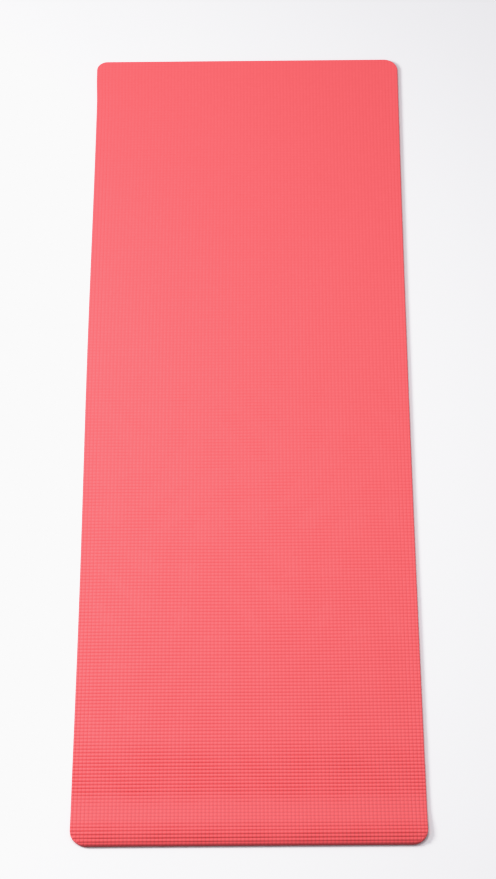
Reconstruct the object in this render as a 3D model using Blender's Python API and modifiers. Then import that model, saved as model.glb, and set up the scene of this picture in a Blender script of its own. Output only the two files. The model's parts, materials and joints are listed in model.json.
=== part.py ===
"""A foam exercise mat: two bonded foam layers with a reinforcing net between them.

The mat lies with its length along Y and the middle of its underside at the origin. Its near
end, at -Y, stands a few millimetres clear of the floor, as on a mat that was kept rolled up.
"""

import math

import bmesh
import bpy
import numpy as np

# Outline of the mat, and its thickness over both layers
MAT_WIDTH = 0.610
MAT_LENGTH = 1.730
MAT_THICKNESS = 0.006
CORNER_RADIUS = 0.025
RIM_ROUNDING = 0.0018

# Space that bonded faces keep between them
BOND_GAP = 0.0003

# Reinforcing net, with fewer and wider yarns than the real one
SCRIM_THICKNESS = 0.0004
SCRIM_MARGIN = 0.010
YARN_PITCH = 0.075
YARN_WIDTH = 0.003

# Near end: the mat slopes up to a low crest, and sags from there to its tip
CREST_LIFT = 0.003
CREST_FROM_TIP = 0.022
RISE_LENGTH = 0.050
TIP_SAG = 0.0026
SAG_POWER = 2.5

# Fineness of the round stretches
CORNER_SEGMENTS = 12
RIM_SEGMENTS = 4
RISE_SEGMENTS = 12
SAG_SEGMENTS = 6

# Points closer than this are one point, and a cutter runs this far past a face
SAME_PLACE = 0.00001
CUTTER_OVERRUN = 0.002

# Heights of the layers and of the pocket that holds the net
LAYER_THICKNESS = (MAT_THICKNESS - BOND_GAP) / 2
BOND_HEIGHT = LAYER_THICKNESS
TOP_LAYER_HEIGHT = LAYER_THICKNESS + BOND_GAP
POCKET_FLOOR = BOND_HEIGHT - SCRIM_THICKNESS - BOND_GAP
RIM_WALL_SHARE = 0.9

# Pocket in the bottom layer, and the net that lies in it
POCKET_WIDTH = MAT_WIDTH - 2 * SCRIM_MARGIN
POCKET_LENGTH = MAT_LENGTH - 2 * SCRIM_MARGIN
POCKET_RADIUS = max(CORNER_RADIUS - SCRIM_MARGIN, BOND_GAP)
SCRIM_WIDTH = POCKET_WIDTH - 2 * BOND_GAP
SCRIM_LENGTH = POCKET_LENGTH - 2 * BOND_GAP

# Colours as linear red, green, blue
CORAL = (0.93, 0.145, 0.165, 1.0)
CORAL_UNDERSIDE = (0.90, 0.135, 0.155, 1.0)
UNDYED_POLYESTER = (0.80, 0.79, 0.75, 1.0)


def clear_scene():
    """Remove what a new scene starts with."""
    for thing in list(bpy.data.objects):
        bpy.data.objects.remove(thing, do_unlink=True)


def new_collection(name):
    """A collection linked to the scene."""
    collection = bpy.data.collections.new(name)
    bpy.context.scene.collection.children.link(collection)
    return collection


def plain_material(name, colour, roughness):
    """A non-metallic material."""
    material = bpy.data.materials.new(name)
    material.use_nodes = True
    shader = material.node_tree.nodes["Principled BSDF"]
    shader.inputs["Base Color"].default_value = colour
    shader.inputs["Roughness"].default_value = roughness
    shader.inputs["Metallic"].default_value = 0.0
    return material


def new_piece(name, shape, collection):
    """An object that holds a finished bmesh."""
    mesh = bpy.data.meshes.new(name)
    shape.to_mesh(mesh)
    shape.free()
    piece = bpy.data.objects.new(name, mesh)
    collection.objects.link(piece)
    return piece


def rounded_slab(width, length, low, high, radius):
    """A box between two heights whose four upright edges are rounded."""
    slab = bmesh.new()
    bmesh.ops.create_cube(slab, size=1.0)
    bmesh.ops.scale(slab, vec=(width, length, high - low), verts=slab.verts)
    bmesh.ops.translate(slab, vec=(0.0, 0.0, (low + high) / 2), verts=slab.verts)
    upright = []
    for edge in slab.edges:
        start, end = edge.verts
        if abs(start.co.z - end.co.z) > SAME_PLACE:
            upright.append(edge)
    bmesh.ops.bevel(
        slab,
        geom=upright,
        offset=radius,
        offset_type="OFFSET",
        segments=CORNER_SEGMENTS,
        profile=0.5,
        affect="EDGES",
    )
    return slab


def round_rim(slab, height):
    """Round the outer edge that runs round a slab at a height."""
    rim = []
    for edge in slab.edges:
        if all(abs(vert.co.z - height) < SAME_PLACE for vert in edge.verts):
            rim.append(edge)
    bmesh.ops.bevel(
        slab,
        geom=rim,
        offset=min(RIM_ROUNDING, LAYER_THICKNESS * RIM_WALL_SHARE),
        offset_type="OFFSET",
        segments=RIM_SEGMENTS,
        profile=0.5,
        affect="EDGES",
    )


def foam_layer(name, low, high, rim_height, collection):
    """One foam sheet, with the rim at its outer face rounded."""
    slab = rounded_slab(MAT_WIDTH, MAT_LENGTH, low, high, CORNER_RADIUS)
    round_rim(slab, rim_height)
    return new_piece(name, slab, collection)


def cut_pocket(layer, collection):
    """Sink the shallow pocket for the net into a layer's upper face."""
    top = BOND_HEIGHT + CUTTER_OVERRUN
    shape = rounded_slab(POCKET_WIDTH, POCKET_LENGTH, POCKET_FLOOR, top, POCKET_RADIUS)
    cutter = new_piece("scrim_pocket_cutter", shape, collection)
    cutter.hide_render = True
    cutter.display_type = "WIRE"
    cut = layer.modifiers.new("scrim_pocket", "BOOLEAN")
    cut.operation = "DIFFERENCE"
    cut.solver = "EXACT"
    cut.object = cutter


def yarn_edges(span):
    """Both edges of every yarn that crosses a span, and the span's own ends.

    The yarns are evenly spaced, with half a pitch free beyond the outer ones, so odd
    stretches between these places are yarns and even ones are gaps.
    """
    count = max(2, round(span / YARN_PITCH))
    step = span / count
    places = [-span / 2]
    for number in range(count):
        middle = -span / 2 + (number + 0.5) * step
        places.append(middle - YARN_WIDTH / 2)
        places.append(middle + YARN_WIDTH / 2)
    places.append(span / 2)
    return places


def scrim_net(name, collection):
    """A flat net of crossing yarns, whose ends are free all round."""
    across = yarn_edges(SCRIM_WIDTH)
    along = yarn_edges(SCRIM_LENGTH)
    columns = len(across) - 1
    rows = len(along) - 1
    net = bmesh.new()
    bmesh.ops.create_grid(net, x_segments=columns, y_segments=rows, size=0.5)
    gaps = []
    for face in net.faces:
        middle = face.calc_center_median()
        column = math.floor((middle.x + 0.5) * columns)
        row = math.floor((middle.y + 0.5) * rows)
        if column % 2 == 0 and row % 2 == 0:
            gaps.append(face)
    for vert in net.verts:
        vert.co.x = across[round((vert.co.x + 0.5) * columns)]
        vert.co.y = along[round((vert.co.y + 0.5) * rows)]
        vert.co.z = BOND_HEIGHT
    bmesh.ops.delete(net, geom=gaps, context="FACES")
    piece = new_piece(name, net, collection)
    wall = piece.modifiers.new("yarn_thickness", "SOLIDIFY")
    wall.thickness = SCRIM_THICKNESS
    wall.offset = -1.0
    return piece


def end_profile():
    """Places along Y where the lifted end changes slope, from its tip on, and their lifts."""
    tip = -MAT_LENGTH / 2
    crest = tip + CREST_FROM_TIP
    places = []
    lifts = []
    for number in range(SAG_SEGMENTS):
        share = 1 - number / SAG_SEGMENTS
        places.append(crest - share * CREST_FROM_TIP)
        lifts.append(CREST_LIFT - TIP_SAG * share**SAG_POWER)
    for number in range(RISE_SEGMENTS + 1):
        share = number / RISE_SEGMENTS
        places.append(crest + share * RISE_LENGTH)
        lifts.append(CREST_LIFT * (1 + math.cos(math.pi * share)) / 2)
    return places, lifts


def lift_near_end(piece):
    """Apply a piece's modifiers, cut it across at each change of slope and lift it."""
    bpy.context.view_layer.update()
    evaluated = piece.evaluated_get(bpy.context.evaluated_depsgraph_get())
    shape = bmesh.new()
    shape.from_mesh(evaluated.to_mesh())
    evaluated.to_mesh_clear()
    piece.modifiers.clear()
    places, lifts = end_profile()
    for place in places[1:]:
        bmesh.ops.bisect_plane(
            shape,
            geom=shape.verts[:] + shape.edges[:] + shape.faces[:],
            dist=SAME_PLACE,
            plane_co=(0.0, place, 0.0),
            plane_no=(0.0, 1.0, 0.0),
        )
    for vert in shape.verts:
        vert.co.z += float(np.interp(vert.co.y, places, lifts))
    shape.to_mesh(piece.data)
    shape.free()


def shade(piece, material):
    """Give a piece its material and smooth shading with crisp edges."""
    piece.data.materials.clear()
    piece.data.materials.append(material)
    piece.data.shade_smooth()
    piece.data.set_sharp_from_angle(angle=math.radians(40))


def build_mat():
    """The three sheets of the mat, from the floor up."""
    clear_scene()
    mat = new_collection("yoga_mat")
    cutters = new_collection("cutters")
    bottom = foam_layer("bottom_foam_layer", 0.0, BOND_HEIGHT, 0.0, mat)
    cut_pocket(bottom, cutters)
    scrim = scrim_net("reinforcing_scrim", mat)
    top = foam_layer("top_foam_layer", TOP_LAYER_HEIGHT, MAT_THICKNESS, MAT_THICKNESS, mat)
    for piece in (bottom, scrim, top):
        lift_near_end(piece)
    shade(bottom, plain_material("bottom_foam", CORAL_UNDERSIDE, 0.75))
    shade(scrim, plain_material("scrim_yarn", UNDYED_POLYESTER, 0.7))
    shade(top, plain_material("top_foam", CORAL, 0.7))


build_mat()
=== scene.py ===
"""A coral foam exercise mat on a pale floor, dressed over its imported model.

Two bonded foam layers with a waffle pressed into each outer face, and a net of yarns between.
"""

import json
import math

import bpy
import numpy as np
from mathutils import Matrix, Vector


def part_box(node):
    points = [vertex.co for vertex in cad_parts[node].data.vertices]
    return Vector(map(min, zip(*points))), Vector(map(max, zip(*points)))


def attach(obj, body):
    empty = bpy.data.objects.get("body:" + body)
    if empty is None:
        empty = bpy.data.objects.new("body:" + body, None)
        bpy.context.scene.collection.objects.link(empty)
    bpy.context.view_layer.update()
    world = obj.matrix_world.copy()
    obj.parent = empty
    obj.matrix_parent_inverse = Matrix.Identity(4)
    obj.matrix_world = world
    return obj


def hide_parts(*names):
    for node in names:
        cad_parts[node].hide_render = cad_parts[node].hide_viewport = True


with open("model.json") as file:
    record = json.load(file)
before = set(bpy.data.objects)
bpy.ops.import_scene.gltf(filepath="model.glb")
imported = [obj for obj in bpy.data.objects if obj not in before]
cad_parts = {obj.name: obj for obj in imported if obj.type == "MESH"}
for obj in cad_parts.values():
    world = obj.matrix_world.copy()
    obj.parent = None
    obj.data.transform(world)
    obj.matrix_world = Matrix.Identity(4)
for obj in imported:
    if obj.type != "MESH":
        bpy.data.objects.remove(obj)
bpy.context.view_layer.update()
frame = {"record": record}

# Size of the mat as packed: its plan, its thickness and the lift of its near end
low_corner, high_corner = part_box("top_foam_layer")
MAT_WIDTH = high_corner.x - low_corner.x
MAT_LENGTH = high_corner.y - low_corner.y
MOUNTS = {mount["name"]: mount for mount in frame["record"]["mounts"]}
MAT_THICKNESS = MOUNTS["top_face"]["pos_m"][2]
CREST_LIFT = high_corner.z - MAT_THICKNESS

# The lifted end, from its tip: a short sag, the crest and the slope down to the floor
CREST_FROM_TIP = 0.022
RISE_LENGTH = 0.050
TIP_SAG = 0.0026
SAG_POWER = 2.5

# Radii of the left and the right corner, at the near end and at the far end
NEAR_RADII = (0.029, 0.0265)
FAR_RADII = (0.021, 0.028)
WIDEST_RADIUS = max(NEAR_RADII + FAR_RADII)

# Rims, as how far they turn inward and how far down, and the seam halfway up the side
TOP_RIM = (0.0020, 0.0020)
UNDERSIDE_RIM = (0.0009, 0.0009)
RIM_STEPS = 5
SEAM_HEIGHT = MAT_THICKNESS / 2
SEAM_OPENING = 0.00005
SEAM_CHAMFER = 0.0002
SHARP_ANGLE = 44

# Left side that wanders from a straight cut, and spreads toward its far corner
LEFT_WANDER = 0.0008
LEFT_WAVE = 1.04
LEFT_PHASE = 3.82
CORNER_SPREAD = 0.0018
SPREAD_START = 0.755
SPREAD_RUN = 0.070

# Right side that is cut hollow, as its place halfway along, its skew and its bow
RIGHT_HOLLOW = (-0.0034, 0.00115, 0.00479)

# Rows that wander from a straight line, and a near end that is a little short
ROW_WANDER = 0.0004
ROW_WAVE = 0.43
ROW_DRIFT = 5.0
NEAR_INSET = 0.0020

# Cells of the waffle, half a groove as a share of a cell, and how high a pad's shoulder is
CELLS_ACROSS = 91.5
CELLS_ALONG = 256.70
CELL_WIDTH = MAT_WIDTH / CELLS_ACROSS
CELL_LENGTH = MAT_LENGTH / CELLS_ALONG
ROW_SHIFT = -0.509 * CELL_LENGTH
GROOVE_HALF = 0.27
PAD_SHOULDER = 0.90

# Row and column depths halfway along, and what they, and the painted shade in their grooves, gain
# at the near end and lose at the far
TOP_GROOVES = (0.00096, 0.00040)
UNDERSIDE_GROOVES = (0.00050, 0.00040)
ROW_CHANGE = 0.55
COLUMN_CHANGE = 0.42

# What row depths are multiplied by, from the tip on: least where the end bends up
FROM_TIP = (0.000, 0.012, 0.024, 0.036, 0.048, 0.070, 0.085, 0.100, 0.150, 0.200)
OPENING = (1.45, 1.45, 1.35, 1.00, 0.42, 0.42, 0.85, 1.55, 1.55, 0.92)

# Unevenness of the depths: a swing from row to row, and broad patches with wavy borders
ROW_UNEVENNESS = 0.05
ROW_SWING = 2.3
SWING_DRIFT = 0.61
SWING_ACROSS = 9.0
PATCH_UNEVENNESS = 0.14
PATCH_SIZE = 0.13
PATCH_STRETCH = 0.83
ACROSS_BEND = (2.1, 0.37)
ALONG_BEND = (1.7, 0.51)

# Painted shade in the column grooves halfway along, and painted shade that pads have too, by place
# along
COLUMN_SHADE = 0.58
SHADE_PLACES = (-0.80, -0.60, -0.05, 0.20, 0.50)
SHADE_ALONG = (0.20, 0.17, 0.33, 0.38, 0.44)

# Random tone of each pad, which fades toward its grooves
TONE_SEED = 7
SPARE_PADS = 5
TONE_RISE = 2.0
TONE_START = 0.5

# Painted shade on the cut sides, most on the near end, on the waffle near the tip, where pads have
# less of it, and on the rim at the tip
SIDE_SHADE = 0.25
TIP_STRETCH = (0.000, 0.007, 0.018, 0.024, 0.070, 0.095)
TIP_SHADE = (0.58, 0.30, 0.26, 0.10, 0.09, 0.01)
PAD_SHADE_SHARE = 0.6
# Painted shade on the rim at the tip, and how far in it reaches
TIP_RIM_STRETCH = (0.0020, 0.0055)
TIP_RIM_SHADE = 0.45

# Grid of a waffle face: places in each cell, steps per cell at corners, and a clear share
TOP_SAMPLES = (0.0, GROOVE_HALF, 0.5, 1 - GROOVE_HALF)
TOP_CORNER_STEPS = 12
UNDERSIDE_SAMPLES = (0.0, GROOVE_HALF, 1 - GROOVE_HALF)
UNDERSIDE_CORNER_STEPS = 8
CLEAR_SHARE = 0.08

# Flat colour sheet from 0 to 1: the waffle face, the hidden face, and a strip for each side
FACE_ON_SHEET = (0.002, 0.954)
HIDDEN_ON_SHEET = (0.986, 0.998)
SHEET_LENGTH = 0.99
SIDE_STRIPS = ((0.976, 0.005), (0.967, 0.005), (0.976, 0.505), (0.958, 0.005))
STRIP_WIDTH = 0.006
STRIP_LENGTH = 0.97

# Net between the layers, with a yarn under every groove, and how many points a yarn has
SCRIM_MARGIN = 0.010
POCKET_GAP = 0.0003
YARN_WIDTH = 0.0012
YARN_THICKNESS = 0.0002
NET_HEIGHT = 0.00245
CROSS_STATIONS = 9
LIFTED_STATIONS = 24
FLAT_STATIONS = 14

# Camera, as the outline and the rows in the photograph place it
LENS = 108.61
SENSOR_WIDTH = 36.0
CAMERA_PLACE = (0.0404, -2.6798, 4.1766)
CAMERA_ELEVATION = 57.768
CAMERA_YAW = 0.889
CAMERA_ROLL = -1.202

# Light: a pale room, and soft boxes overhead and at the left
ROOM_LIGHT = 0.45
OVERHEAD_PLACE = (-0.25, -0.05, 1.9)
OVERHEAD_TARGET = (0.0, -0.7, 0.0)
OVERHEAD_SIZE = (0.9, 0.7)
OVERHEAD_POWER = 12.2
SIDE_PLACE = (-2.45, 0.20, 1.62)
SIDE_TARGET = (0.0, -0.2, 0.0)
SIDE_SIZE = (0.9, 0.9)
SIDE_POWER = 76.4

# Film curve: what the photograph makes of scene brightness, with soft highlights
FILM_POINTS = ((0.2, 0.2), (0.5, 0.60), (0.76, 0.86), (1.0, 0.956), (1.3, 0.990))
FILM_WHITE = 1.8
ALL_CHANNELS = 3

# Floor, wide and a hair under the mat
FLOOR_GAP = 0.0002
FLOOR_SIZE = 300.0
FLOOR_ROUGHNESS = 0.9
FLOOR_SHINE = 0.1

# Colours as linear red, green, blue
CORAL = (0.965, 0.149, 0.159, 1.0)
# The groove colours are painted shade: in the grooves, and over the pads by place along the mat
CORAL_SHADE = (0.840, 0.080, 0.107, 1.0)
DEEP_CORAL_SHADE = (0.510, 0.109, 0.121, 1.0)
# Painted shade of the cut sides, most on the near end face, and of the waffle and rim at the tip
PAINTED_SHADE_CORAL = (0.380, 0.037, 0.045, 1.0)
UNDERSIDE_CORAL = (0.880, 0.140, 0.152, 1.0)
# Painted shade in the underside's grooves
UNDERSIDE_GROOVE = (0.830, 0.100, 0.112, 1.0)
UNDYED_YARN = (0.80, 0.79, 0.75, 1.0)
YARN_SHADE = (0.62, 0.61, 0.57, 1.0)
PALE_FLOOR = (0.835, 0.833, 0.853, 1.0)
PALE_ROOM = (0.982, 0.964, 1.0, 1.0)

# Tones of the foam: the pads' own, its clouds, and how sharply the painted groove shade sets in
PAD_TONES = 0.02
TOP_CLOUDS = 0.05
UNDERSIDE_CLOUDS = 0.04
GROOVE_POWER = 1.6
BROAD_SCALE = 2.6
PATCHY_SCALE = 38.0
PATCHY_SHARE = 0.6
CLOUD_DETAIL = 3.0

# Gloss of the foam, which is a little rougher in its grooves and in patches
FOAM_ROUGHNESS = 0.60
GROOVE_ROUGHNESS = 0.10
PATCHY_ROUGHNESS = 0.10
FOAM_SHINE = 0.30
FOAM_SHEEN = 0.05
SHEEN_ROUGHNESS = 0.5

# Grain of the foam: sizes of its swellings and pores, a pore's soft edge and its depth
TOP_GRAIN = 0.0007
UNDERSIDE_GRAIN = 0.0009
GRAIN_DETAIL = 3.0
PORE_SIZE = 0.0016
PORE_EDGE = (0.08, 0.30)
PORE_DEPTH = 0.5

# Yarn: scales of its filaments and clouds, how strongly they show, and its gloss
FILAMENT_SCALE = 3200.0
YARN_CLOUD_SCALE = 70.0
YARN_DETAIL = 2.0
YARN_MIXING = 2.0
YARN_ROUGHNESS = 0.55
YARN_ROUGHNESS_CHANGE = 0.2
YARN_SHINE = 0.4

# Relief of the foam's grain and of the yarn's filaments, as strength and height
FOAM_RELIEF = (0.35, 0.00012)
YARN_RELIEF = (0.5, 0.00005)


def lift(along):
    """Height that the lifted end adds at places along the mat."""
    crest = CREST_FROM_TIP - MAT_LENGTH / 2
    sag_share = np.clip((crest - along) / CREST_FROM_TIP, 0.0, 1.0)
    rise_share = np.clip((along - crest) / RISE_LENGTH, 0.0, 1.0)
    sagging = CREST_LIFT - TIP_SAG * sag_share ** SAG_POWER
    rising = CREST_LIFT * (1 + np.cos(math.pi * rise_share)) / 2
    return np.where(along < crest, sagging, rising)


def laid(points):
    """Puts points of a straight flat mat where the cut, slightly wavy, lifted mat has them."""
    across, along, height = points.T
    spread = np.clip((along - SPREAD_START) / SPREAD_RUN, 0.0, 1.0)
    left = LEFT_WANDER * np.sin(2 * math.pi * along / LEFT_WAVE + LEFT_PHASE)
    left = left - CORNER_SPREAD * spread ** 2 * (3 - 2 * spread)
    middle, skew, bow = RIGHT_HOLLOW
    right = middle + skew * along + bow * along ** 2
    share = across / MAT_WIDTH + 0.5
    sideways = (1 - share) * left + share * right
    free = 1 - (2 * along / MAT_LENGTH) ** 2
    wave = np.sin(2 * math.pi * across / ROW_WAVE + along * ROW_DRIFT)
    lengthways = ROW_WANDER * free * wave + NEAR_INSET * (0.5 - along / MAT_LENGTH)
    return np.stack([across + sideways, along + lengthways, height + lift(along)], axis=1)


def sample_places(half, pitch, shift, samples, corner, corner_steps):
    """Places along one direction, the same in every cell and closer together at the corners."""
    straight = half - corner
    count = math.ceil(half / pitch) + 1
    cells = np.arange(-count, count + 1)
    places = ((cells[:, None] + np.array(samples)[None, :]) * pitch).ravel() + shift
    places = places[np.abs(places) < straight - pitch * CLEAR_SHARE]
    steps = math.ceil(corner / pitch * corner_steps)
    outer = straight + corner * np.arange(steps + 1) / steps
    return np.concatenate([-outer[::-1], places, outer])


def corner_radius(across, along):
    """Radius of the corner that is nearest to each place."""
    near = np.where(across < 0, NEAR_RADII[0], NEAR_RADII[1])
    far = np.where(across < 0, FAR_RADII[0], FAR_RADII[1])
    return np.where(along < 0, near, far)


def onto_round_corners(across, along, half_width, half_length, radius):
    """Moves the square corners of a grid onto round ones."""
    u = np.clip((np.abs(across) - half_width + radius) / radius, 0.0, 1.0)
    v = np.clip((np.abs(along) - half_length + radius) / radius, 0.0, 1.0)
    round_x = half_width - radius + radius * u * np.sqrt(1 - v * v / 2)
    round_y = half_length - radius + radius * v * np.sqrt(1 - u * u / 2)
    cornered = (u > 0) & (v > 0)
    return (
        np.where(cornered, np.sign(across) * round_x, across),
        np.where(cornered, np.sign(along) * round_y, along),
    )


def pad_height(place, pitch):
    """Height of a pad across one direction: 0 in the groove and 1 in the pad's middle."""
    share = place / pitch
    from_groove = np.abs(share - np.round(share))
    return np.interp(from_groove, (0.0, GROOVE_HALF, 0.5), (0.0, PAD_SHOULDER, 1.0))


def painted_groove_shade(along, rows, columns, row_change, column_change):
    """How much painted shade each place has, from its grooves and from its place along the mat, and
    how much of that its pads don't share.
    """
    # Painted shade that pads and grooves share, heavier toward the far end
    even = np.interp(along, SHADE_PLACES, SHADE_ALONG)
    # Painted shade in the row and column grooves, heavier at the near end
    row_groove_shade = (1 - rows) * row_change / (1 + ROW_CHANGE)
    column_groove_shade = COLUMN_SHADE * (1 - columns) * column_change
    grooved = 1 - (1 - column_groove_shade) * (1 - np.maximum(row_groove_shade, even))
    dark = np.clip((grooved - even) / (1 - even), 0.0, 1.0)
    return grooved, dark


def unevenness(across, along):
    """Changes of the grooves' depths as shares: from row to row, and in broad patches."""
    row = np.round((along - ROW_SHIFT) / CELL_LENGTH)
    swing = np.sin(ROW_SWING * row) * np.sin(SWING_DRIFT * row + SWING_ACROSS * across)
    turn = 2 * math.pi / PATCH_SIZE
    across_bend = ACROSS_BEND[0] * np.sin(ACROSS_BEND[1] * turn * along)
    along_bend = ALONG_BEND[0] * np.sin(ALONG_BEND[1] * turn * across)
    patches = np.sin(turn * across + across_bend)
    patches = patches * np.sin(PATCH_STRETCH * turn * along + along_bend)
    return ROW_UNEVENNESS * swing, PATCH_UNEVENNESS * patches


def pad_tones(across, along, rows, columns):
    """The tone of the pad at each place, which fades toward the grooves."""
    pads = (math.ceil(CELLS_ALONG) + SPARE_PADS, math.ceil(CELLS_ACROSS) + SPARE_PADS)
    tones = np.random.default_rng(TONE_SEED).uniform(-1.0, 1.0, pads)
    pad_row = np.floor((along - ROW_SHIFT) / CELL_LENGTH).astype(int) + pads[0] // 2
    pad_column = np.floor(across / CELL_WIDTH).astype(int) + pads[1] // 2
    fading = np.clip(columns * rows * TONE_RISE - TONE_START, 0.0, 1.0)
    return tones[pad_row, pad_column] * fading


def waffle(across, along, depths):
    """The painted shade shares of the grooves at each place, how deep they are, and the pads'
    tones.
    """
    columns = pad_height(across, CELL_WIDTH)
    rows = pad_height(along - ROW_SHIFT, CELL_LENGTH)
    from_middle = 2 * along / MAT_LENGTH
    row_change = 1 - ROW_CHANGE * from_middle
    column_change = 1 - COLUMN_CHANGE * from_middle
    grooved, dark = painted_groove_shade(along, rows, columns, row_change, column_change)
    row_depth, column_depth = depths
    uneven, patches = unevenness(across, along)
    row_grooves = (1 - rows) * np.interp(along + MAT_LENGTH / 2, FROM_TIP, OPENING)
    between_rows = row_depth * row_change * row_grooves * (1 + uneven + patches)
    between_columns = column_depth * column_change * (1 - columns) * (1 - patches)
    below = np.hypot(between_rows, between_columns)
    return grooved, dark, below, pad_tones(across, along, rows, columns)


def foam_face(outer, side, rim, depths, samples, corner_steps):
    """The waffle face of a foam layer as a grid of points, up to where the rim turns."""
    half_width = MAT_WIDTH / 2 - rim[0]
    half_length = MAT_LENGTH / 2 - rim[0]
    widest = WIDEST_RADIUS - rim[0]
    columns = sample_places(half_width, CELL_WIDTH, 0.0, samples, widest, corner_steps)
    rows = sample_places(half_length, CELL_LENGTH, ROW_SHIFT, samples, widest, corner_steps)
    across, along = np.meshgrid(columns, rows)
    radius = corner_radius(across, along) - rim[0]
    across, along = onto_round_corners(across, along, half_width, half_length, radius)
    grooved, dark, below, tone = waffle(across, along, depths)
    points = np.stack([across, along, outer - side * below], axis=2)
    return points, grooved, dark, below, tone


def face_painted_shade(along, grooved):
    """How much painted shade the waffle face gets near the tip, and on its rim at the tip."""
    from_tip = along + MAT_LENGTH / 2
    near_tip = np.interp(from_tip, TIP_STRETCH, TIP_SHADE)
    # Painted shade on the rim that turns down at the tip
    rim_shade = np.interp(from_tip, TIP_RIM_STRETCH, (TIP_RIM_SHADE, 0.0))
    share = PAD_SHADE_SHARE + (1 - PAD_SHADE_SHARE) * grooved
    return np.clip(near_tip * share + rim_shade, 0.0, 1.0)


def outer_ring(numbers):
    """The border of a grid of numbers as one ring, and where its four sides begin and end.

    The sides come in the order near, right, far and left.
    """
    long, wide = numbers.shape
    parts = [numbers[0], numbers[1:, -1], numbers[-1, -2::-1], numbers[-2:0:-1, 0]]
    ring = np.concatenate(parts)
    turns = (0, wide - 1, wide + long - 2, 2 * wide + long - 3, len(ring))
    return ring, turns


def edge_directions(x, y, rim_inset):
    """For points on a face's edge: radius and centre of the corner, and the way outward."""
    radius = corner_radius(x, y)
    centre_x = np.clip(x, radius - MAT_WIDTH / 2, MAT_WIDTH / 2 - radius)
    centre_y = np.clip(y, radius - MAT_LENGTH / 2, MAT_LENGTH / 2 - radius)
    outward_x = (x - centre_x) / (radius - rim_inset)
    outward_y = (y - centre_y) / (radius - rim_inset)
    return radius, centre_x, centre_y, outward_x, outward_y


def side_steps(outer, bonded, rim, pocket_floor):
    """Rings round a foam layer from its waffle face on.

    Each is its inset from the outline, its height, and how much of the waffle is left in it.
    """
    side = 1.0 if outer > bonded else -1.0
    steps = []
    for step in range(1, RIM_STEPS + 1):
        angle = math.pi / 2 * step / RIM_STEPS
        inset = rim[0] * (1 - math.sin(angle))
        drop = rim[1] * (1 - math.cos(angle))
        steps.append((inset, outer - side * drop, math.cos(angle)))
    steps.append((0.0, bonded + side * SEAM_CHAMFER, 0.0))
    steps.append((SEAM_CHAMFER, bonded, 0.0))
    if pocket_floor is not None:
        steps.append((SCRIM_MARGIN, bonded, 0.0))
        steps.append((SCRIM_MARGIN, pocket_floor, 0.0))
    return steps


def on_sheet(points, verticals):
    """Places of points on the flat colour sheet, between two of its verticals."""
    left, right = verticals
    u = left + (right - left) * (points[..., 0] / MAT_WIDTH + 0.5)
    v = 0.5 + SHEET_LENGTH * points[..., 1] / MAT_LENGTH
    return np.stack([u, v], axis=-1)


def strips_on_sheet(x, y, turns, number, count):
    """Places on the colour sheet of the side faces that end at one ring, by its number."""
    run = np.hypot(np.roll(x, -1) - x, np.roll(y, -1) - y)
    places = []
    for first, last, (u_start, v_start) in zip(turns[:-1], turns[1:], SIDE_STRIPS):
        inner = u_start + STRIP_WIDTH * number / count
        outer = u_start + STRIP_WIDTH * (number + 1) / count
        reached = np.concatenate([[0.0], np.cumsum(run[first:last])])
        ends = v_start + reached * STRIP_LENGTH / MAT_LENGTH
        u = np.tile([inner, outer, outer, inner], (last - first, 1))
        v = np.stack([ends[:-1], ends[:-1], ends[1:], ends[1:]], axis=1)
        places.append(np.stack([u, v], axis=2))
    return np.concatenate(places)


def hidden_face(ring, turns):
    """Faces that close the bonded side: one across from every row, and one at each end."""
    left = np.concatenate([ring[:1], ring[:turns[3] - 1:-1]])
    right = ring[turns[1]:turns[2] + 1]
    across = np.stack([left[:-1], left[1:], right[1:], right[:-1]], axis=1)
    near_end = ring[:turns[1] + 1][::-1]
    far_end = ring[turns[2]:turns[3] + 1][::-1]
    return across, [near_end, far_end]


def foam_piece(name, points, quads, ends, places, marks, material):
    """The object of a foam layer, with its places on the colour sheet and its marks."""
    mesh = bpy.data.meshes.new(name)
    faces = quads.tolist() + [end.tolist() for end in ends]
    mesh.from_pydata(laid(points).tolist(), [], faces)
    sheet = mesh.uv_layers.new(name="OFBake")
    sheet.uv.foreach_set("vector", places.astype(np.float32).ravel())
    for label, values in marks.items():
        attribute = mesh.attributes.new(label, "FLOAT", "POINT")
        attribute.data.foreach_set("value", np.concatenate(values).astype(np.float32))
    mesh.materials.append(material)
    piece = bpy.data.objects.new(name, mesh)
    bpy.context.scene.collection.objects.link(piece)
    mesh.shade_smooth()
    mesh.set_sharp_from_angle(angle=math.radians(SHARP_ANGLE))
    return piece


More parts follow.
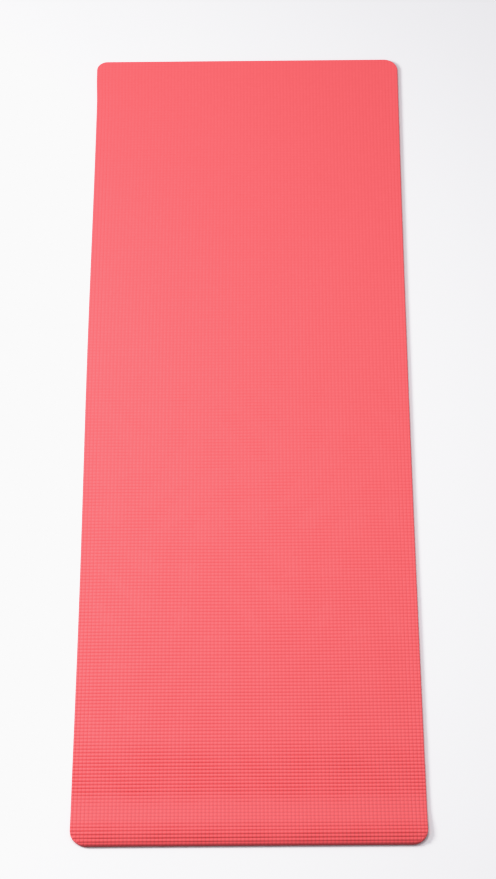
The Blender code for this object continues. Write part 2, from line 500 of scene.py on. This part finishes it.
def foam_layer(name, node, outer, bonded, rim, depths, samples, corner_steps, pocket_floor,
               material):
    """One foam layer: waffle face, rounded rim, cut side, and the hidden face that is bonded."""
    side = 1.0 if outer > bonded else -1.0
    face, grooved, dark, below, tone = foam_face(outer, side, rim, depths, samples, corner_steps)
    numbers = np.arange(grooved.size).reshape(grooved.shape)
    flat = face.reshape(-1, 3)
    cells = [numbers[:-1, :-1], numbers[:-1, 1:], numbers[1:, 1:], numbers[1:, :-1]]
    face_quads = np.stack(cells, axis=2).reshape(-1, 4)
    quads = [face_quads]
    places = [on_sheet(flat[face_quads], FACE_ON_SHEET)]
    points = [flat]
    marks = {
        # The groove and dark marks carry painted shade in the grooves
        "groove": [grooved.ravel()],
        "dark": [dark.ravel()],
        "pad_tone": [tone.ravel()],
        # Painted shade near the tip and on its rim
        "cut": [face_painted_shade(flat[:, 1], grooved.ravel())],
    }

    edge, turns = outer_ring(numbers)
    edge_marks = {label: values[0][edge] for label, values in marks.items()}
    edge_below = below.ravel()[edge]
    directions = edge_directions(flat[edge, 0], flat[edge, 1], rim[0])
    radius, centre_x, centre_y, outward_x, outward_y = directions
    facing_near = np.clip(-outward_y, 0.0, 1.0)
    # Painted shade on the cut sides, full on the side that faces the near end
    side_marks = {"cut": SIDE_SHADE + (1 - SIDE_SHADE) * facing_near}
    inner = edge
    steps = side_steps(outer, bonded, rim, pocket_floor)
    for number, (inset, height, fading) in enumerate(steps):
        x = centre_x + outward_x * (radius - inset)
        y = centre_y + outward_y * (radius - inset)
        z = height - side * edge_below * fading
        ring = sum(len(part) for part in points) + np.arange(len(edge))
        points.append(np.stack([x, y, z], axis=1))
        for label, values in marks.items():
            on_side = side_marks.get(label, 0.0)
            values.append(edge_marks[label] * fading + on_side * (1 - fading))
        quads.append(np.stack([inner, ring, np.roll(ring, -1), np.roll(inner, -1)], axis=1))
        places.append(strips_on_sheet(x, y, turns, number, len(steps)))
        inner = ring

    all_points = np.concatenate(points)
    hidden, ends = hidden_face(inner, turns)
    quads.append(hidden)
    places.append(on_sheet(all_points[hidden], HIDDEN_ON_SHEET))
    all_quads = np.concatenate(quads)
    all_places = np.concatenate(places)
    if side < 0:
        all_quads = all_quads[:, ::-1]
        all_places = all_places[:, ::-1]
        ends = [end[::-1] for end in ends]
    end_places = [on_sheet(all_points[end], HIDDEN_ON_SHEET) for end in ends]
    all_places = np.concatenate([all_places.reshape(-1, 2)] + end_places)
    piece = foam_piece(name, all_points, all_quads, ends, all_places, marks, material)
    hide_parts(node)
    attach(piece, "root")


def yarn(line, lengthways):
    """Corner points of a flat yarn that follows the middle of its underside, and its faces."""
    half = YARN_WIDTH / 2
    corners = ((-half, 0.0), (half, 0.0), (half, YARN_THICKNESS), (-half, YARN_THICKNESS))
    points = []
    for x, y, z in line:
        for sideways, up in corners:
            if lengthways:
                points.append((x + sideways, y, z + up))
            else:
                points.append((x, y - sideways, z + up))
    faces = [(0, 1, 2, 3)]
    for station in range(len(line) - 1):
        here = 4 * station
        for corner in range(4):
            beside = (corner + 1) % 4
            faces.append((here + corner, here + 4 + corner, here + 4 + beside, here + beside))
    last = 4 * (len(line) - 1)
    faces.append((last + 3, last + 2, last + 1, last))
    return points, faces


def yarn_reach(place, half_here, half_there, radius):
    """How far a yarn at a place runs before it meets the net's rounded outline."""
    beyond = abs(place) + YARN_WIDTH / 2 - (half_here - radius)
    if beyond <= 0:
        return half_there
    return half_there - radius + math.sqrt(max(radius ** 2 - beyond ** 2, 0.0))


def scrim_net(material):
    """Yarns along the mat, laid on yarns across it, with one of each under every groove."""
    half_width = MAT_WIDTH / 2 - SCRIM_MARGIN - POCKET_GAP
    half_length = MAT_LENGTH / 2 - SCRIM_MARGIN - POCKET_GAP
    radius = WIDEST_RADIUS - SCRIM_MARGIN - POCKET_GAP
    slope_end = CREST_FROM_TIP + RISE_LENGTH - MAT_LENGTH / 2
    yarns = []
    across_count = math.floor((half_length - YARN_WIDTH) / CELL_LENGTH - 0.5)
    for number in range(-across_count, across_count + 1):
        y = number * CELL_LENGTH + ROW_SHIFT
        end = yarn_reach(y, half_length, half_width, radius)
        line = [(x, y, NET_HEIGHT) for x in np.linspace(-end, end, CROSS_STATIONS)]
        yarns.append(yarn(line, False))
    along_count = math.floor((half_width - YARN_WIDTH) / CELL_WIDTH)
    for number in range(-along_count, along_count + 1):
        x = number * CELL_WIDTH
        end = yarn_reach(x, half_width, half_length, radius)
        lifted = np.linspace(-end, slope_end, LIFTED_STATIONS)
        flat = np.linspace(slope_end, end, FLAT_STATIONS)[1:]
        line = [(x, y, NET_HEIGHT + YARN_THICKNESS) for y in np.concatenate([lifted, flat])]
        yarns.append(yarn(line, True))
    points = []
    faces = []
    for yarn_points, yarn_faces in yarns:
        faces.extend([tuple(index + len(points) for index in face) for face in yarn_faces])
        points.extend(yarn_points)
    mesh = bpy.data.meshes.new("scrim_net")
    mesh.from_pydata(laid(np.array(points)).tolist(), [], faces)
    mesh.materials.append(material)
    piece = bpy.data.objects.new("scrim_net", mesh)
    bpy.context.scene.collection.objects.link(piece)
    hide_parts("reinforcing_scrim")
    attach(piece, "root")


def feed(tree, slot, value):
    """Gives an input a plain value, or links it to an output."""
    if isinstance(value, (int, float, tuple)):
        slot.default_value = value
    else:
        tree.links.new(value, slot)


def computed(tree, operation, first, second):
    """The result of an operation on two numbers or outputs."""
    node = tree.nodes.new("ShaderNodeMath")
    node.operation = operation
    feed(tree, node.inputs[0], first)
    feed(tree, node.inputs[1], second)
    return node.outputs["Value"]


def mixed_colour(tree, share, first, second):
    """A colour between two, by a share."""
    node = tree.nodes.new("ShaderNodeMix")
    node.data_type = "RGBA"
    for slot, value in ((node.inputs[0], share), (node.inputs[6], first), (node.inputs[7], second)):
        feed(tree, slot, value)
    return node.outputs[2]


def noise(tree, place, scale, detail):
    """Noise of a scale, between about 0.3 and 0.7."""
    node = tree.nodes.new("ShaderNodeTexNoise")
    node.inputs["Detail"].default_value = detail
    feed(tree, node.inputs["Scale"], scale)
    feed(tree, node.inputs["Vector"], place)
    return node.outputs["Fac"]


def object_place(tree):
    """The place of a surface point in its object's own space."""
    return tree.nodes.new("ShaderNodeTexCoord").outputs["Object"]


def mark(tree, label):
    """The mark that the mesh carries at its points under a label."""
    node = tree.nodes.new("ShaderNodeAttribute")
    node.attribute_name = label
    return node.outputs["Fac"]


def put_relief(tree, shader, height, relief):
    """Turns a height into fine relief of a surface."""
    bump = tree.nodes.new("ShaderNodeBump")
    bump.inputs["Strength"].default_value, bump.inputs["Distance"].default_value = relief
    tree.links.new(height, bump.inputs["Height"])
    tree.links.new(bump.outputs["Normal"], shader.inputs["Normal"])


def new_group(name, inputs, outputs):
    """An empty node group, with the inputs and outputs that were asked for."""
    tree = bpy.data.node_groups.new(name, "ShaderNodeTree")
    for label, kind, value in inputs:
        slot = tree.interface.new_socket(label, in_out="INPUT", socket_type=kind)
        slot.default_value = value
    for label, kind in outputs:
        tree.interface.new_socket(label, in_out="OUTPUT", socket_type=kind)
    entry = tree.nodes.new("NodeGroupInput")
    leaving = tree.nodes.new("NodeGroupOutput")
    return tree, entry.outputs, leaving.inputs


def pressed_waffle_group():
    """Colour and roughness of foam that was pressed into a waffle.

    The grooves and the pads carry painted shade, most in the grooves, and so do the cut sides and
    the near tip; every pad has a tone of its own. Broad clouds of tone run over the whole sheet.
    """
    tree, given, put_out = new_group(
        "pressed_waffle",
        (
            ("Pad", "NodeSocketColor", CORAL),
            ("Groove", "NodeSocketColor", CORAL_SHADE),
            ("Deep Shade", "NodeSocketColor", DEEP_CORAL_SHADE),
            ("Painted Shade", "NodeSocketColor", PAINTED_SHADE_CORAL),
            ("Clouds", "NodeSocketFloat", TOP_CLOUDS),
            ("Pad Tones", "NodeSocketFloat", PAD_TONES),
        ),
        (("Colour", "NodeSocketColor"), ("Roughness", "NodeSocketFloat")),
    )
    place = object_place(tree)
    groove = mark(tree, "groove")
    deep = computed(tree, "POWER", groove, GROOVE_POWER)
    # Painted shade in the grooves, over the pad colour
    groove_shade_colour = mixed_colour(tree, mark(tree, "dark"), given["Groove"], given["Deep Shade"])
    waffle_shaded_colour = mixed_colour(tree, deep, given["Pad"], groove_shade_colour)
    # Painted shade of the cut sides and the tip, carried by the cut mark
    base = mixed_colour(tree, mark(tree, "cut"), waffle_shaded_colour, given["Painted Shade"])
    broad = computed(tree, "SUBTRACT", noise(tree, place, BROAD_SCALE, CLOUD_DETAIL), 0.5)
    patchy = computed(tree, "SUBTRACT", noise(tree, place, PATCHY_SCALE, CLOUD_DETAIL), 0.5)
    clouds = computed(tree, "ADD", broad, computed(tree, "MULTIPLY", patchy, PATCHY_SHARE))
    clouds = computed(tree, "MULTIPLY", clouds, given["Clouds"])
    tones = computed(tree, "MULTIPLY", mark(tree, "pad_tone"), given["Pad Tones"])
    level = computed(tree, "ADD", computed(tree, "ADD", clouds, tones), 1.0)
    scaled = tree.nodes.new("ShaderNodeVectorMath")
    scaled.operation = "SCALE"
    tree.links.new(base, scaled.inputs[0])
    tree.links.new(level, scaled.inputs["Scale"])
    tree.links.new(scaled.outputs["Vector"], put_out["Colour"])
    in_grooves = computed(tree, "MULTIPLY", groove, GROOVE_ROUGHNESS)
    in_patches = computed(tree, "MULTIPLY", patchy, PATCHY_ROUGHNESS)
    rough = computed(tree, "ADD", in_grooves, FOAM_ROUGHNESS)
    tree.links.new(computed(tree, "ADD", rough, in_patches), put_out["Roughness"])
    return tree


def foam_grain_group():
    """Height of the fine grain of closed-cell foam: soft swellings and scattered pores."""
    tree, given, put_out = new_group(
        "foam_grain",
        (
            ("Grain Size", "NodeSocketFloat", TOP_GRAIN),
            ("Pore Size", "NodeSocketFloat", PORE_SIZE),
        ),
        (("Height", "NodeSocketFloat"),),
    )
    place = object_place(tree)
    grain_scale = computed(tree, "DIVIDE", 1.0, given["Grain Size"])
    swellings = noise(tree, place, grain_scale, GRAIN_DETAIL)
    pores = tree.nodes.new("ShaderNodeTexVoronoi")
    tree.links.new(place, pores.inputs["Vector"])
    tree.links.new(computed(tree, "DIVIDE", 1.0, given["Pore Size"]), pores.inputs["Scale"])
    closing = tree.nodes.new("ShaderNodeMapRange")
    closing.inputs["From Min"].default_value, closing.inputs["From Max"].default_value = PORE_EDGE
    tree.links.new(pores.outputs["Distance"], closing.inputs["Value"])
    open_share = computed(tree, "SUBTRACT", 1.0, closing.outputs["Result"])
    sunk = computed(tree, "MULTIPLY", open_share, PORE_DEPTH)
    tree.links.new(computed(tree, "SUBTRACT", swellings, sunk), put_out["Height"])
    return tree


def foam_material(name, pressed, grain, colours, clouds, grain_size):
    """Matt coloured foam, from the colours of its pads and of the painted shade in its grooves and
    darkest grooves.
    """
    material = bpy.data.materials.new(name)
    material.use_nodes = True
    tree = material.node_tree
    shader = tree.nodes["Principled BSDF"]
    shader.inputs["Specular IOR Level"].default_value = FOAM_SHINE
    shader.inputs["Sheen Weight"].default_value = FOAM_SHEEN
    shader.inputs["Sheen Roughness"].default_value = SHEEN_ROUGHNESS
    waffle_node = tree.nodes.new("ShaderNodeGroup")
    waffle_node.node_tree = pressed
    for label, colour in zip(("Pad", "Groove", "Deep Shade"), colours):
        waffle_node.inputs[label].default_value = colour
    waffle_node.inputs["Clouds"].default_value = clouds
    grain_node = tree.nodes.new("ShaderNodeGroup")
    grain_node.node_tree = grain
    grain_node.inputs["Grain Size"].default_value = grain_size
    tree.links.new(waffle_node.outputs["Colour"], shader.inputs["Base Color"])
    tree.links.new(waffle_node.outputs["Roughness"], shader.inputs["Roughness"])
    put_relief(tree, shader, grain_node.outputs["Height"], FOAM_RELIEF)
    return material


def yarn_material():
    """Undyed polyester yarn with fine filaments."""
    material = bpy.data.materials.new("undyed_yarn")
    material.use_nodes = True
    tree = material.node_tree
    shader = tree.nodes["Principled BSDF"]
    shader.inputs["Specular IOR Level"].default_value = YARN_SHINE
    place = object_place(tree)
    filaments = noise(tree, place, FILAMENT_SCALE, YARN_DETAIL)
    clouds = noise(tree, place, YARN_CLOUD_SCALE, YARN_DETAIL)
    share = computed(tree, "MULTIPLY", filaments, clouds)
    share = computed(tree, "MULTIPLY", share, YARN_MIXING)
    tree.links.new(mixed_colour(tree, share, UNDYED_YARN, YARN_SHADE), shader.inputs["Base Color"])
    change = computed(tree, "MULTIPLY", clouds, YARN_ROUGHNESS_CHANGE)
    tree.links.new(computed(tree, "ADD", change, YARN_ROUGHNESS), shader.inputs["Roughness"])
    put_relief(tree, shader, filaments, YARN_RELIEF)
    return material


def pale_floor():
    """Plain pale studio floor."""
    bpy.ops.mesh.primitive_plane_add(size=FLOOR_SIZE, location=(0.0, 0.0, -FLOOR_GAP))
    floor = bpy.context.object
    floor.name = "studio_floor"
    material = bpy.data.materials.new("pale_floor")
    material.use_nodes = True
    shader = material.node_tree.nodes["Principled BSDF"]
    shader.inputs["Base Color"].default_value = PALE_FLOOR
    shader.inputs["Roughness"].default_value = FLOOR_ROUGHNESS
    shader.inputs["Specular IOR Level"].default_value = FLOOR_SHINE
    floor.data.materials.append(material)


def soft_light(name, place, target, size, power):
    """A large soft box that faces a point."""
    bpy.ops.object.light_add(type="AREA", location=place)
    lamp = bpy.context.object
    lamp.name = name
    lamp.data.shape = "RECTANGLE"
    lamp.data.size, lamp.data.size_y = size
    lamp.data.energy = power
    towards = Vector(target) - Vector(place)
    lamp.rotation_mode = "QUATERNION"
    lamp.rotation_quaternion = towards.to_track_quat("-Z", "Y")


def studio_light():
    """Even pale light from all round, with one soft box overhead and one at the left."""
    world = bpy.data.worlds.new("pale_room")
    world.use_nodes = True
    background = world.node_tree.nodes["Background"]
    background.inputs["Color"].default_value = PALE_ROOM
    background.inputs["Strength"].default_value = ROOM_LIGHT
    bpy.context.scene.world = world
    soft_light("overhead_soft_box", OVERHEAD_PLACE, OVERHEAD_TARGET, OVERHEAD_SIZE, OVERHEAD_POWER)
    soft_light("side_soft_box", SIDE_PLACE, SIDE_TARGET, SIDE_SIZE, SIDE_POWER)


def film_curve():
    """The photograph's response to brightness, the same for red, green and blue."""
    view = bpy.context.scene.view_settings
    view.view_transform = "Standard"
    view.use_curve_mapping = True
    film = view.curve_mapping
    film.clip_max_x = FILM_WHITE
    film.extend = "HORIZONTAL"
    curve = film.curves[ALL_CHANNELS]
    curve.points[-1].location = (FILM_WHITE, 1.0)
    for place in FILM_POINTS:
        curve.points.new(*place)
    film.update()


def photo_camera():
    """The camera, where the photograph was taken from."""
    turn = Matrix.Rotation(math.radians(CAMERA_YAW), 4, "Z")
    tilt = Matrix.Rotation(math.radians(90 - CAMERA_ELEVATION), 4, "X")
    roll = Matrix.Rotation(math.radians(CAMERA_ROLL), 4, "Z")
    bpy.ops.object.camera_add()
    camera = bpy.context.object
    camera.matrix_world = Matrix.Translation(CAMERA_PLACE) @ turn @ tilt @ roll
    camera.data.lens = LENS
    camera.data.sensor_width = SENSOR_WIDTH
    bpy.context.scene.camera = camera


photo_camera()
studio_light()
film_curve()
pale_floor()
pressed = pressed_waffle_group()
grain = foam_grain_group()
foam_layer(
    "bottom_foam",
    "bottom_foam_layer",
    outer=0.0,
    bonded=SEAM_HEIGHT - SEAM_OPENING,
    rim=UNDERSIDE_RIM,
    depths=UNDERSIDE_GROOVES,
    samples=UNDERSIDE_SAMPLES,
    corner_steps=UNDERSIDE_CORNER_STEPS,
    pocket_floor=NET_HEIGHT - SEAM_OPENING,
    material=foam_material(
        "underside_coral_foam",
        pressed,
        grain,
        (UNDERSIDE_CORAL, UNDERSIDE_GROOVE, UNDERSIDE_GROOVE),
        UNDERSIDE_CLOUDS,
        UNDERSIDE_GRAIN,
    ),
)
scrim_net(yarn_material())
foam_layer(
    "top_foam",
    "top_foam_layer",
    outer=MAT_THICKNESS,
    bonded=SEAM_HEIGHT + SEAM_OPENING,
    rim=TOP_RIM,
    depths=TOP_GROOVES,
    samples=TOP_SAMPLES,
    corner_steps=TOP_CORNER_STEPS,
    pocket_floor=None,
    material=foam_material(
        "top_coral_foam",
        pressed,
        grain,
        (CORAL, CORAL_SHADE, DEEP_CORAL_SHADE),
        TOP_CLOUDS,
        TOP_GRAIN,
    ),
)
